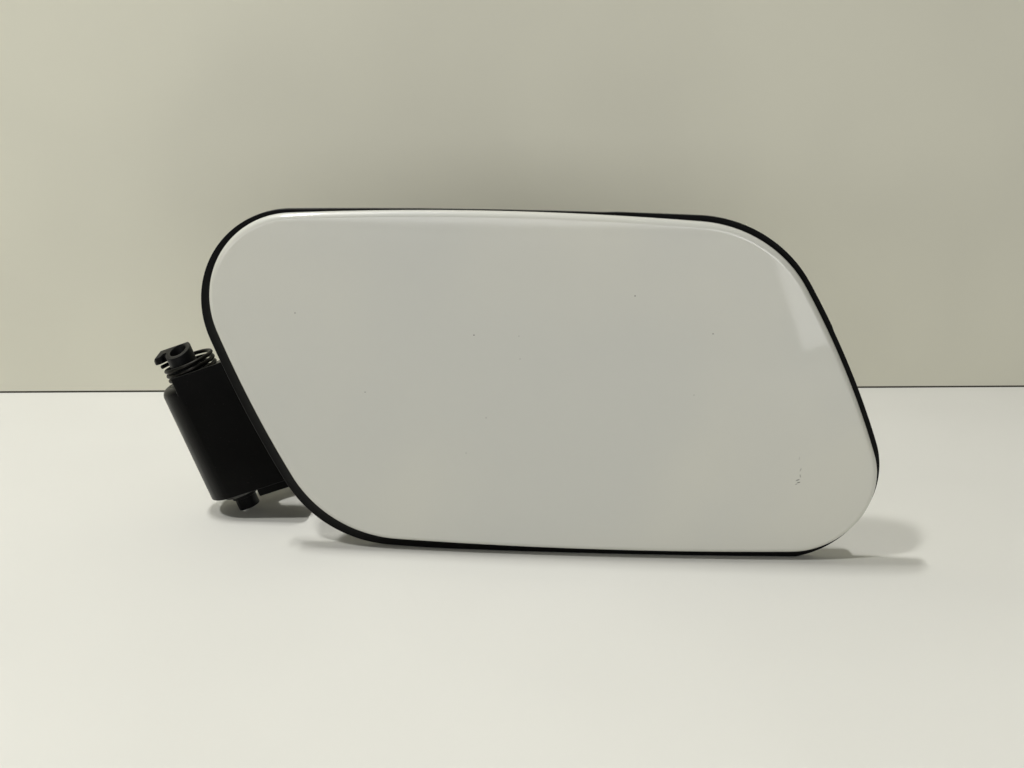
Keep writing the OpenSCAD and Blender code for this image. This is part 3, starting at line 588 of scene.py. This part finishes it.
@dataclass
class PaintedSkin:
    """The crowned and painted skin, with its rolled edge and its return."""

    form: FlapForm
    thick: float = 1.6
    roll: float = 2.0
    depth: float = 2.9
    end_r: float = 0.3

    def section(self) -> Array:
        """Rows of (share of the way from the middle, inset from the edge, depth) round the skin's section.

        From the middle of the face over the quarter circle of the rolled edge, round the end of the return,
        and back inside to the middle of the rear face.
        """
        turn = np.linspace(0, math.pi / 2, 12)[:, None]
        inner_r = self.roll - self.thick
        # the last three rings keep the face's shading even right up to the roll
        share = np.concatenate([np.linspace(0.04, 0.97, 26), [0.985, 0.994, 0.998]])
        face = share[:, None] * [1, 0, 0] + [0, self.roll, 0]
        roll = np.hstack([turn * 0 + 1, self.roll * (1 - np.sin(turn)), self.roll * (1 - np.cos(turn))])
        end = np.hstack([np.ones((5, 1)), quarter(self.end_r)]) + [0, 0, self.depth - self.end_r]
        inner = np.hstack([turn * 0 + 1, self.thick + inner_r * (1 - np.sin(turn)),
                           self.thick + inner_r * (1 - np.cos(turn))])[::-3]
        rear = np.linspace(0.9, 0.06, 8)[:, None] * [1, 0, 0] + [0, self.roll, self.thick]
        return np.concatenate([face, roll, end, [[1, self.thick, self.depth]], inner, rear])

    def build(self, paint: Material) -> None:
        """Carries the section round the outline.

        Args:
            paint: The paint's material.
        """
        edge, middle = self.form.edge, self.form.middle
        out = outward(edge)
        rings = [self.form.curved(middle + (edge - out * inset - middle) * share, behind)
                 for share, inset, behind in self.section()]
        shells = Shells()
        shells.add(np.array(rings))
        skin = shells.build("painted_skin", paint)
        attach(skin, Body.FLAP.value)
        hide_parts("outer_skin")


@dataclass(frozen=True)
class Room:
    """A rectangle on the rear side: its middle, half sizes and lean in the flap's X and Z."""

    middle: tuple[float, float]
    half: tuple[float, float]
    lean_deg: float = 0.0

    def holds(self, points: Array) -> Array:
        """Whether each point lies in the rectangle."""
        lean = math.radians(self.lean_deg)
        away = points - np.array(self.middle)
        x = away @ [math.cos(lean), math.sin(lean)]
        z = away @ [-math.sin(lean), math.cos(lean)]
        return (np.abs(x) < self.half[0]) & (np.abs(z) < self.half[1])

    def loop(self, corner_r: float, steps: int = 8) -> Array:
        """The rectangle's outline with rounded corners, clockwise."""
        turn = np.linspace(math.pi / 2, 0, steps)
        arc = corner_r * np.stack([np.cos(turn), np.sin(turn)], axis=1) + np.array(self.half) - corner_r
        arcs = np.concatenate([arc, (arc * [1, -1])[::-1], arc * [-1, -1], (arc * [-1, 1])[::-1]])
        lean = math.radians(self.lean_deg)
        basis = np.array([[math.cos(lean), math.sin(lean)], [-math.sin(lean), math.cos(lean)]])
        return arcs @ basis + np.array(self.middle)


@dataclass
class SeatPlan:
    """Where the arm, the screws and the buffers meet the carrier's rear side, and the room that ribs leave them.

    The arm's seat is given by its way from the hinge line towards the flap and up from the spindle's foot.
    """

    form: FlapForm
    arm_at: tuple[float, float] = (54.8, 29.3)
    arm_half: tuple[float, float] = (16.8, 21.25)
    arm_clear: float = 2.0
    striker_half: tuple[float, float] = (10.0, 19.8)
    holder_half: tuple[float, float] = (13.4, 10.5)
    striker_screws: tuple[str, ...] = ("striker_screw_1", "striker_screw_2")
    holder_screw: str = "holder_screw"
    buffers: tuple[str, ...] = ("buffer_1", "buffer_2", "buffer_3", "buffer_4")
    screw_boss_r: float = 5.2
    buffer_boss_r: float = 4.4

    def middle(self, node: str) -> Array:
        """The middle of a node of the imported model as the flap's X and Z."""
        return self.form.from_frame(*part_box(node))

    def arm_seat(self, clear: float = 0.0) -> Room:
        """The arm's seat, with clear added all round."""
        hinge = self.form.hinge
        half = (self.arm_half[0] + clear, self.arm_half[1] + clear)
        return Room(tuple(hinge.flap_point(*self.arm_at)), half, hinge.lean_deg)

    def rooms(self) -> list[Room]:
        """The rectangles that the ribs keep clear of."""
        striker = sum(self.middle(name) for name in self.striker_screws) / len(self.striker_screws)
        return [self.arm_seat(self.arm_clear), Room(tuple(striker), self.striker_half),
                Room(tuple(self.middle(self.holder_screw)), self.holder_half)]

    def bosses(self) -> list[tuple[Array, float]]:
        """The middle and radius of each boss."""
        screws = (*self.striker_screws, self.holder_screw)
        return [(self.middle(name), self.screw_boss_r) for name in screws] + [
            (self.middle(name), self.buffer_boss_r) for name in self.buffers]


@dataclass
class MouldedCarrier:
    """The black carrier: a crowned plate with a lip round the skin, ribs behind it, and seats for what it carries.

    Behind the lip a slope leads down to the plate. The land is a strip by which the lip is wider round the upper
    right corner, from a share of the side before that corner to a share of the side after it.
    """

    form: FlapForm
    gap: float = 0.2
    thick: float = 2.3
    lip_t: float = 2.2
    skin_t: float = 1.6
    skin_depth: float = 2.9
    margins: tuple[float, ...] = (2.3, 1.2, 3.3, 3.9)
    more_radius: tuple[float, ...] = (2.8, 0.8, 4.8, 0.0)
    lip_bows: tuple[float, ...] = (2.15, 6.2, 1.6, 4.0)
    lip_r: float = 0.5
    well_wall: float = 0.6
    well_r: float = 0.3
    slope_in: float = 1.6
    slope_run: float = 2.8
    slope_ease: tuple[float, float] = (0.5, 0.1)
    land: float = 0.2
    land_before: float = 0.214
    land_after: float = 0.286
    rib_t: float = 1.8
    rib_h: float = 4.0
    rib_inset: float = 11.0
    rib_ends: float = 32.0
    rib_sink: float = 0.8
    rib_foot: float = 0.5
    cross_ribs: int = 7
    long_ribs: int = 2
    rib_step: float = 4.0
    search_reach: float = 250.0
    search_step: float = 0.1
    shortest: float = 1.0
    seat_step: float = 0.5
    seat_corner_r: float = 1.2
    pad_sink: float = 1.0
    pad_r: float = 0.3
    boss_steps: int = 40
    edge_r: float = 0.35
    root_r: float = 0.6
    front: float = field(init=False)
    back: float = field(init=False)
    lip_front: float = field(init=False)
    rib_back: float = field(init=False)

    def __post_init__(self) -> None:
        """Works out the levels behind the crowned face."""
        self.front = self.skin_t + self.gap
        self.back = self.front + self.thick
        self.lip_front = self.skin_depth + self.gap
        highest = self.form.middle + [0.0, self.form.height / 2]
        self.rib_back = float(self.back + self.form.crown(highest) + self.rib_h)

    def lip(self) -> Array:
        """The lip's outline: it is a little wider round the upper right corner, and flat where the flap stands."""
        shape = self.form.outline
        plain = shape.grown(np.array(self.margins), shape.radii + self.more_radius, np.array(self.lip_bows)).loop()
        run = shape.corner_steps + shape.side_steps
        place = np.arange(len(plain))
        start = run - self.land_before * shape.side_steps
        end = run + shape.corner_steps + self.land_after * shape.side_steps
        wider = np.clip((place - start) / 2 + 0.5, 0, 1) * np.clip((end - place) / 2 + 0.5, 0, 1)
        wide = plain + outward(plain) * (self.land * wider)[:, None]
        return np.stack([wide[:, 0], np.maximum(wide[:, 1], 0)], axis=1)

    def plate(self) -> Array:
        """The plate's rings: front face, joggle, lip, and the rib that runs round the back."""
        form, skin, lip = self.form, self.form.edge, self.lip()
        skin_out, lip_out, middle = outward(skin), outward(lip), self.form.middle
        joggle = self.skin_t + self.well_wall
        well, lip_back = skin - skin_out * joggle, self.lip_front + self.lip_t
        rings = [form.curved(middle + (well - middle) * s, self.front) for s in np.linspace(0.08, 0.99, 9)]
        rings += [form.curved(well - skin_out * i, self.front + self.well_r - r)
                  for i, r in quarter(self.well_r, 4)[::-1]]
        rings += [form.curved(well, self.lip_front)]
        rings += [form.curved(lip - lip_out * i, self.lip_front + self.edge_r - r)
                  for i, r in quarter(self.edge_r)[::-1]]
        rings += [form.curved(lip - lip_out * i, lip_back - self.lip_r + r) for i, r in quarter(self.lip_r)]
        top, foot, (ease, drop) = joggle + self.slope_in, joggle + self.slope_in + self.slope_run, self.slope_ease
        rings += [form.curved(skin - skin_out * top, lip_back),
                  form.curved(skin - skin_out * (top + ease), lip_back - drop),
                  form.curved(skin - skin_out * (foot - ease), self.back + drop),
                  form.curved(skin - skin_out * foot, self.back)]
        rings += self._wall(skin, skin_out, self.rib_inset, -1.0)
        rings += self._wall(skin, skin_out, self.rib_inset + self.rib_t, 1.0)[::-1]
        inner = skin - skin_out * (self.rib_inset + self.rib_t + self.root_r + self.rib_foot)
        rings += [form.curved(middle + (inner - middle) * s, self.back) for s in np.linspace(1.0, 0.08, 9)]
        return np.array(rings)

    def _wall(self, loop: Array, out: Array, inset: float, side: float) -> list[Array]:
        """One side of the rib round the back: its root fillet on the plate and its rounded edge."""
        root = [self.form.curved(loop - out * (inset + side * r), self.back + self.root_r - i)
                for r, i in quarter(self.root_r)[::-1]]
        edge = [self.form.at(loop - out * (inset - side * i), self.rib_back - self.edge_r + r)
                for i, r in quarter(self.edge_r)]
        return root + edge

    def rib(self, start: Array, end: Array) -> Array:
        """A straight rib's rings from start to end.

        Its section is a wall of constant thickness with a fillet at the root and a rounded edge. The root
        follows the crown, and the edge is level with the other ribs.
        """
        half, steps = self.rib_t / 2, max(2, int(np.linalg.norm(end - start) / self.rib_step))
        root, edge = quarter(self.root_r, 4), quarter(self.edge_r, 4)
        across = np.concatenate([[half + self.root_r], half + root[::-1, 1], half - edge[:, 0]])
        rise = np.concatenate([[-self.rib_sink], self.root_r - root[::-1, 0], edge[:, 1] - self.edge_r])
        from_top = np.concatenate([np.zeros(1 + len(root), bool), np.ones(len(edge), bool)])
        across = np.concatenate([across, -across[::-1]])
        rise, from_top = np.concatenate([rise, rise[::-1]]), np.concatenate([from_top, from_top[::-1]])
        line = start + (end - start) * np.linspace(0, 1, steps)[:, None]
        side = left_of(unit(end - start))
        points = line[:, None] + across[None, :, None] * side
        surface = self.back + self.form.crown(line)
        return self.form.at(points, np.where(from_top, self.rib_back + rise, surface[:, None] + rise))

    def stretches(self, middle: Array, along: Array, rooms: Sequence[Room]) -> list[tuple[Array, Array]]:
        """The clear stretches of a line inside the rib round the back and outside the rooms.

        A point is inside where a ray from it towards the free end crosses the fence an odd number of times.

        Args:
            middle: A point on the line.
            along: The line's direction.
            rooms: Where no rib may run.

        Returns:
            The ends of each stretch.
        """
        count = round(2 * self.search_reach / self.search_step) + 1
        steps = np.linspace(-self.search_reach, self.search_reach, count)
        points = middle + along * steps[:, None]
        fence = self.form.edge - outward(self.form.edge) * (self.rib_inset + self.rib_t / 2)
        after = np.roll(fence, -1, axis=0)
        x, z = points[:, 0, None], points[:, 1, None]
        crosses = (fence[:, 1] > z) != (after[:, 1] > z)
        rise = np.where(after[:, 1] == fence[:, 1], 1.0, after[:, 1] - fence[:, 1])
        left = x < fence[:, 0] + (after[:, 0] - fence[:, 0]) * (z - fence[:, 1]) / rise
        clear = (crosses & left).sum(axis=1) % 2 == 1
        for room in rooms:
            clear &= ~room.holds(points)
        change = np.flatnonzero(np.diff(clear.astype(int)))
        least = round(self.shortest / self.search_step)
        return [(points[a + 1], points[b]) for a, b in zip(change[::2], change[1::2]) if b - a > least]

    def pad(self, loop: Array) -> Array:
        """A raised seat's rings: upright sides that start inside the plate, and a rounded edge at its top."""
        out, top = outward(loop), self.rib_back + self.seat_step
        root = self.form.at(loop, self.form.crown(loop) + self.back - self.pad_sink)
        rings = [root] + [self.form.at(loop - out * i, top - self.pad_r + r) for i, r in quarter(self.pad_r, 4)]
        return np.array(rings)

    def build(self, plastic: Material, plan: SeatPlan) -> None:
        """Builds plate, ribs, the arm's seat and the bosses as one moulding.

        Args:
            plastic: The carrier's material.
            plan: What the carrier holds.
        """
        form, shells, rooms = self.form, Shells(), plan.rooms()
        shells.add(self.plate())
        lean = math.radians(form.hinge.lean_deg)
        step = (form.top - self.rib_ends) / self.cross_ribs
        lines = [(form.middle + [(i - (self.cross_ribs - 1) / 2) * step, 0.0],
                  np.array([-math.sin(lean), math.cos(lean)])) for i in range(self.cross_ribs)]
        lines += [(form.middle + [0.0, (k - (self.long_ribs - 1) / 2) * form.height / (self.long_ribs + 1)],
                   np.array([1.0, 0.0])) for k in range(self.long_ribs)]
        for middle, along in lines:
            for start, end in self.stretches(middle, along, rooms):
                shells.add(self.rib(start, end))
        shells.add(self.pad(plan.arm_seat().loop(self.seat_corner_r)))
        turn = -np.arange(self.boss_steps) * 2 * math.pi / self.boss_steps
        circle = np.stack([np.cos(turn), np.sin(turn)], axis=1)
        for middle, radius in plan.bosses():
            shells.add(self.pad(middle + circle * radius))
        carrier = shells.build("moulded_carrier", plastic)
        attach(carrier, Body.FLAP.value)
        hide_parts("inner_carrier")


@dataclass
class TorsionSpring:
    """The closing spring: a helix of round wire with a straight leg at each end, pressed over by its load."""

    hinge: HingeLine
    wire: float = 1.4
    gap: float = 0.4
    turns: float = 3.45
    outer: float = 9.0
    pressed_over: float = 1.95
    seat: float = 51.7
    leg_low: float = 7.0
    leg_high: float = 6.2
    start_deg: float = 342.0
    steps_per_turn: int = 72
    leg_steps: int = 10
    dome_steps: int = 6
    sides: int = 20

    def centre_line(self) -> Array:
        """The wire's middle line: leg, helix of constant pitch, leg, in hinge line coordinates in mm."""
        radius = self.outer - self.wire / 2
        turn = np.arange(int(self.turns * self.steps_per_turn) + 1) / self.steps_per_turn
        angle = math.radians(self.start_deg) + 2 * math.pi * turn
        coil = np.stack([self.pressed_over + radius * np.cos(angle), radius * np.sin(angle),
                         self.seat + self.wire / 2 + turn * (self.wire + self.gap)], axis=1)
        tangent = np.stack([-np.sin(angle), np.cos(angle), np.zeros_like(angle)], axis=1)
        reach = np.linspace(0.1, 1, self.leg_steps)[:, None]
        low = coil[0] - tangent[0] * self.leg_low * reach[::-1]
        high = coil[-1] + tangent[-1] * self.leg_high * reach
        return np.concatenate([low, coil, high])

    def build(self, steel: Material) -> None:
        """Carries a circle of the wire's radius along the middle line and rounds both ends over.

        The spring winds between the arm and the spindle.

        Args:
            steel: The wire's material.
        """
        line = self.centre_line()
        tangent = unit(np.gradient(line, axis=0))
        ends = self.dome_steps
        dome = np.linspace(0.05, math.pi / 2, ends)
        start = line[0] + tangent[0] * (self.wire / 4) * (1 - np.cos(dome))[:, None]
        stop = line[-1] - tangent[-1] * (self.wire / 4) * (1 - np.cos(dome[::-1]))[:, None]
        size = np.concatenate([np.sin(dome), np.ones(len(line) - 2), np.sin(dome[::-1])]) * self.wire / 2
        line = np.concatenate([start, line[1:-1], stop])
        tangent = np.concatenate([np.repeat(tangent[:1], ends, 0), tangent[1:-1], np.repeat(tangent[-1:], ends, 0)])
        side = unit(np.cross(tangent, [0.0, 0.0, 1.0]))
        above = np.cross(side, tangent)
        turn = (np.arange(self.sides) * 2 * math.pi / self.sides)[None, :, None]
        circle = side[:, None] * np.cos(turn) + above[:, None] * np.sin(turn)
        shells = Shells()
        shells.add(self.hinge.place(line[:, None] + circle * size[:, None, None]))
        spring = shells.build("wound_spring", steel)
        top = self.seat + self.turns * (self.wire + self.gap)
        low, high = self.hinge.place([[0, 0, self.seat], [0, 0, top]])
        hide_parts("torsion_spring")
        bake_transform(spring)


@dataclass
class CadDresser:
    """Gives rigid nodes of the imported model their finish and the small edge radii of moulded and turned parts."""

    nodes: dict[str, Object]
    weld_mm: float = 0.002
    flat_deg: float = 0.1
    segments: int = 3

    def dress(self, names: Iterable[str], material: Material, edge_mm: float, clamp: bool = False,
              least_deg: float = 30.0) -> None:
        """Assigns a material, joins the flat faces' triangles, and rounds the edges.

        Args:
            names: The nodes that get it.
            material: Their material.
            edge_mm: Radius of their edges.
            clamp: Whether the radius gives way where edges lie closer than it.
            least_deg: Edges that turn by less than this stay as they are.
        """
        for name in names:
            node = self.nodes[name]
            node.data.materials.clear()
            node.data.materials.append(material)
            node.data.polygons.foreach_set("use_smooth", np.ones(len(node.data.polygons), bool))
            weld = node.modifiers.new("weld", "WELD")
            weld.merge_threshold = self.weld_mm * MM
            flats = node.modifiers.new("whole_flats", "DECIMATE")
            flats.decimate_type = "DISSOLVE"
            flats.angle_limit = math.radians(self.flat_deg)
            bevel = node.modifiers.new("edge_radius", "BEVEL")
            bevel.width = edge_mm * MM
            bevel.segments = self.segments
            bevel.limit_method = "ANGLE"
            bevel.angle_limit = math.radians(least_deg)
            bevel.use_clamp_overlap = clamp
            bevel.harden_normals = True
            LOG.info("dressed %s with %s", name, material.name)


@dataclass
class Viewpoint:
    """The camera at the photograph's view, for a frame of 1024 by 768."""

    place_mm: tuple[float, float, float] = (115.44, -334.52, 125.70)
    pitch_deg: float = 17.5
    yaw_deg: float = -1.5
    roll_deg: float = 1.1
    focal_px: float = 1000.0
    width_px: float = 1024.0
    sensor_mm: float = 36.0
    clip_m: tuple[float, float] = (0.01, 20.0)

    def build(self) -> None:
        """Makes the camera: pitch looks down, yaw turns right and roll tips the view."""
        pitch, yaw, roll = (math.radians(a) for a in (self.pitch_deg, self.yaw_deg, self.roll_deg))
        ahead = np.array([math.sin(yaw) * math.cos(pitch), math.cos(yaw) * math.cos(pitch), -math.sin(pitch)])
        level = np.array([math.cos(yaw), -math.sin(yaw), 0.0])
        above = np.cross(level, ahead)
        turn = np.eye(4)
        turn[:3, 0] = level * math.cos(roll) + above * math.sin(roll)
        turn[:3, 1] = -level * math.sin(roll) + above * math.cos(roll)
        turn[:3, 2] = -ahead
        turn[:3, 3] = np.array(self.place_mm) * MM
        data = bpy.data.cameras.new("view")
        data.sensor_width = self.sensor_mm
        data.lens = self.focal_px * self.sensor_mm / self.width_px
        data.clip_start, data.clip_end = self.clip_m
        camera = bpy.data.objects.new("view", data)
        camera.matrix_world = Matrix(turn.tolist())
        bpy.context.scene.collection.objects.link(camera)
        bpy.context.scene.camera = camera


@dataclass(frozen=True)
class Lamp:
    """A white area lamp: where it hangs, where it points, its sides in metres, its power and its lean."""

    name: str
    at: tuple[float, float, float]
    to: tuple[float, float, float]
    sides: tuple[float, float]
    watts: float
    lean_deg: float = 0.0

    def hang(self) -> None:
        """Adds the lamp, its first side level before it leans in its own plane."""
        data = bpy.data.lights.new(self.name, "AREA")
        data.shape = "RECTANGLE"
        data.size, data.size_y = self.sides
        data.energy = self.watts
        made = bpy.data.objects.new(self.name, data)
        away = unit(np.array(self.at) - np.array(self.to))
        side = unit(np.cross([0.0, 0.0, 1.0], away)) if abs(away[2]) < 0.95 else np.array([1.0, 0.0, 0.0])
        above, lean, turn = np.cross(away, side), math.radians(self.lean_deg), np.eye(4)
        turn[:3, 0] = side * math.cos(lean) + above * math.sin(lean)
        turn[:3, 1] = above * math.cos(lean) - side * math.sin(lean)
        turn[:3, 2], turn[:3, 3] = away, self.at
        made.matrix_world = Matrix(turn.tolist())
        bpy.context.scene.collection.objects.link(made)


@dataclass
class Studio:
    """Pale table and wall, two small lamps from above, two low cards for the gloss, and a dim surround.

    Lengths are in metres here, and the wall runs through two points of the table's plan.
    """

    floor_z: float
    wall_from: tuple[float, float] = (-0.138, 0.125)
    wall_to: tuple[float, float] = (0.306, 0.173)
    half_width: float = 1.6
    wall_height: float = 1.5
    front: float = -1.4
    back: float = 1.2
    seam: float = 0.0009
    surround: str = "#5A5A5A"
    lamps: tuple[Lamp, ...] = (
        Lamp("overhead", (-0.36, 0.0, 1.2), (0.08, 0.0, 0.0), (0.12, 0.03), 8.5),
        Lamp("front_left", (-0.46, -0.36, 1.2), (0.1, -0.03, 0.0), (0.1, 0.1), 7.2),
        Lamp("front_card", (-0.1, -1.55, 0.13), (0.05, -0.03, 0.02), (2.4, 0.3), 7.8),
        Lamp("right_card", (0.291, -0.28, 0.083), (0.23, -0.03, 0.06), (0.07, 0.2), 0.085, 21.8),
    )

    def build(self) -> None:
        """Builds the table, the wall, the lamps and the surround."""
        along = unit(np.array(self.wall_to) - np.array(self.wall_from))
        middle = (np.array(self.wall_to) + np.array(self.wall_from)) / 2
        left, right = middle - along * self.half_width, middle + along * self.half_width
        z, high = self.floor_z, self.floor_z + self.wall_height
        # gap is the seam's material: a dark strip of painted shadow where the wall meets the table
        table, wall, gap = TABLE_PAINT.material(), WALL_PAINT.material(), SEAM_SHADE.material()
        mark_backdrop(self._sheet("table", [(left[0], self.front, z), (right[0], self.front, z),
                                       (right[0], self.back, z), (left[0], self.back, z)], table),
                 self._sheet("seam", [(*left, z), (*right, z), (*right, z + self.seam), (*left, z + self.seam)], gap),
                 self._sheet("wall", [(*left, z + self.seam), (*right, z + self.seam), (*right, high),
                                      (*left, high)], wall))
        for lamp in self.lamps:
            lamp.hang()
        world = bpy.data.worlds.new("surround")
        bpy.context.scene.world = world
        world.use_nodes = True
        world.node_tree.nodes["Background"].inputs["Color"].default_value = linear(self.surround)

    @staticmethod
    def _sheet(name: str, corners: list[tuple[float, float, float]], material: Material) -> Object:
        """A flat sheet through four corners."""
        mesh = bpy.data.meshes.new(name)
        mesh.from_pydata(corners, [], [(0, 1, 2, 3)])
        mesh.materials.append(material)
        made = bpy.data.objects.new(name, mesh)
        bpy.context.scene.collection.objects.link(made)
        return made


def main() -> None:
    """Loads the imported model, builds the fine pieces, dresses the rest, and adds the view and the studio."""
    logging.basicConfig(level=logging.INFO, format="%(message)s")
    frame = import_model()
    cad_box = [list(corner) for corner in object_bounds()]
    bpy.context.scene.view_settings.view_transform = "Standard"
    nodes = frame["nodes"]
    Viewpoint().build()
    Studio(floor_z=cad_box[0][2]).build()

    hinge = HingeLine()
    form = FlapForm(hinge)
    plan = SeatPlan(form)
    PaintedSkin(form).build(BodyPaint().material())
    MouldedCarrier(form).build(CARRIER_PLASTIC.material(), plan)
    TorsionSpring(hinge).build(SPRING_WIRE.material())

    dresser = CadDresser(nodes)
    arm = ARM_NYLON.material()
    dresser.dress(["hinge_arm"], arm, 0.4, least_deg=80.0)
    dresser.dress(["latch_striker", "cap_holder"], arm, 0.4)
    dresser.dress(["hinge_spindle"], SPINDLE_NYLON.material(), 0.3, clamp=True)
    dresser.dress(["bush_upper", "bush_lower"], BUSH_ACETAL.material(), 0.15)
    dresser.dress(["thrust_washer", "retaining_ring"], BLACK_STEEL.material(), 0.12)
    dresser.dress([name for name in nodes if "screw" in name], SCREW_STEEL.material(), 0.2)
    dresser.dress(plan.buffers, BUFFER_RUBBER.material(), 0.3)


if __name__ == "__main__":
    main()
